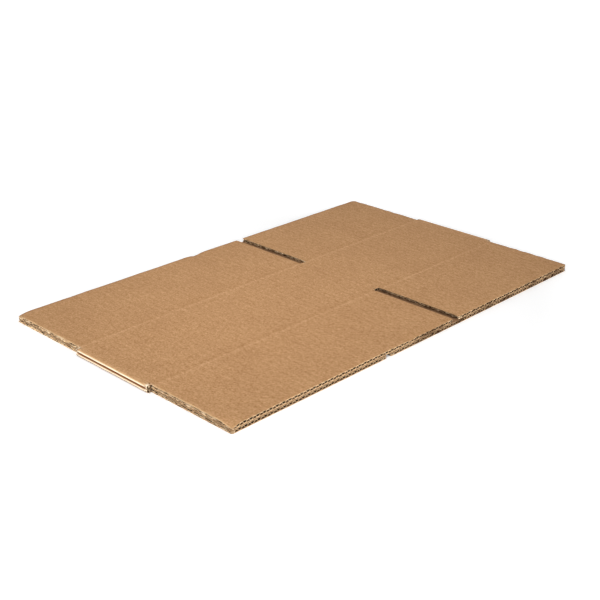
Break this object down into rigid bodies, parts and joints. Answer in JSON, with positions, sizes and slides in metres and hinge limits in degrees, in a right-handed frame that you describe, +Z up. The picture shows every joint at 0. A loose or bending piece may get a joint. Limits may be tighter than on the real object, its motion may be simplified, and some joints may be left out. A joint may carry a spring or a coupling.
{
  "type": "flattened cardboard box",
  "caption": "Slotted shipping box of corrugated board, glued at one corner and folded flat into a double sheet with slotted flaps.",
  "frame": {"origin": "on the underside, below the middle of the flat box", "axes": "+X along the girth of the box, across the flutes; +Y along its height, with the flutes; +Z up, through the two plies"},
  "size_m": [0.508, 0.315, 0.008],
  "materials": {
    "corrugated_board": "matt brown kraft paper"
  },
  "bodies": {
    "root": {"flattened_box": "corrugated_board"}
  },
  "joints": []
}
